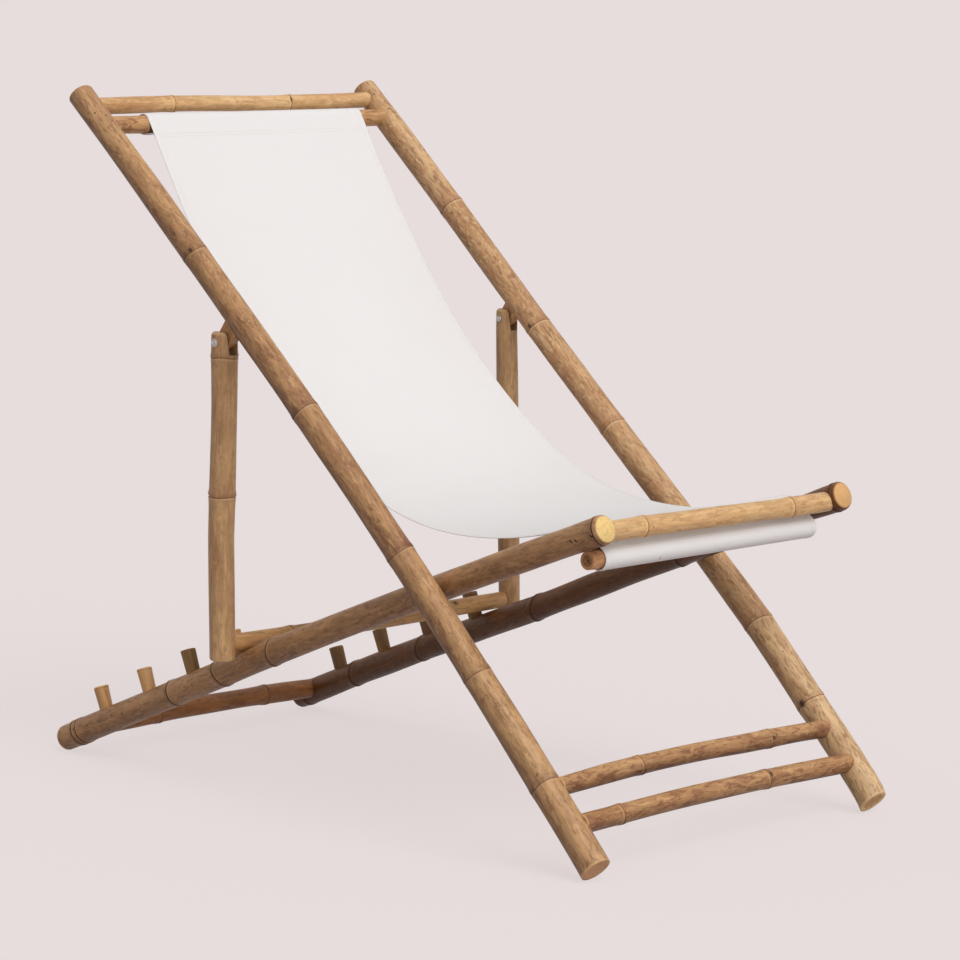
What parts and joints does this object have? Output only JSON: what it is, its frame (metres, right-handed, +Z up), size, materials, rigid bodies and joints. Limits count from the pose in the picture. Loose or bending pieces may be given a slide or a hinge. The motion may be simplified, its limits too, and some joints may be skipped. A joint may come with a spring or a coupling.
{
  "type": "bamboo folding recliner",
  "caption": "Free-standing deck chair of bamboo poles: two crossed frames, a prop frame stopped by pegs, and a canvas sling hung from a top rod to the front of the seat.",
  "frame": {"origin": "on the floor, under the middle of the chair", "axes": "+Z up, the sitter faces -Y, +X to the right as seen from the front"},
  "size_m": [0.6031, 1.1562, 0.9986],
  "materials": {
    "bamboo_culm": "varnished",
    "bamboo_bar": "varnished",
    "bamboo_peg": "varnished",
    "bamboo_dark": "varnished",
    "hardwood": "varnished",
    "steel": "satin",
    "canvas": "matt"
  },
  "bodies": {
    "base_frame": {"left_base_rail": "bamboo_culm", "right_base_rail": "bamboo_culm", "left_crossing_pin": "steel", "right_crossing_pin": "steel", "left_peg_1": "bamboo_peg", "left_peg_2": "bamboo_peg", "left_peg_3": "bamboo_peg", "left_peg_4": "bamboo_peg", "right_peg_1": "bamboo_peg", "right_peg_2": "bamboo_peg", "right_peg_3": "bamboo_peg", "right_peg_4": "bamboo_peg", "front_rail": "bamboo_bar", "seat_rail": "bamboo_bar", "rear_crossbar": "bamboo_dark", "front_sling_rod": "bamboo_bar"},
    "back_frame": {"left_back_pole": "bamboo_culm", "right_back_pole": "bamboo_culm", "left_hinge_tongue": "hardwood", "right_hinge_tongue": "hardwood", "top_rail": "bamboo_bar", "top_sling_rod": "bamboo_bar", "upper_stretcher": "bamboo_bar", "lower_stretcher": "bamboo_bar", "sling": "canvas"},
    "prop_frame": {"left_prop_strut": "bamboo_culm", "right_prop_strut": "bamboo_culm", "left_hinge_pin": "steel", "right_hinge_pin": "steel", "prop_crossbar": "bamboo_dark"}
  },
  "joints": [
    {"name": "back_hinge", "type": "hinge", "parent": "base_frame", "child": "back_frame", "pos_m": [0, -0.24536, 0.34121], "axis": [1, 0, 0], "range_deg": [0, 105], "deforming": ["sling"]},
    {"name": "prop_hinge", "type": "hinge", "parent": "back_frame", "child": "prop_frame", "pos_m": [0, 0.15025, 0.6462], "axis": [1, 0, 0], "range_deg": [-47.85, 0]}
  ],
  "couplings": [
    {"joint": "prop_hinge", "follows": "back_hinge", "ratio": -0.45568}
  ]
}
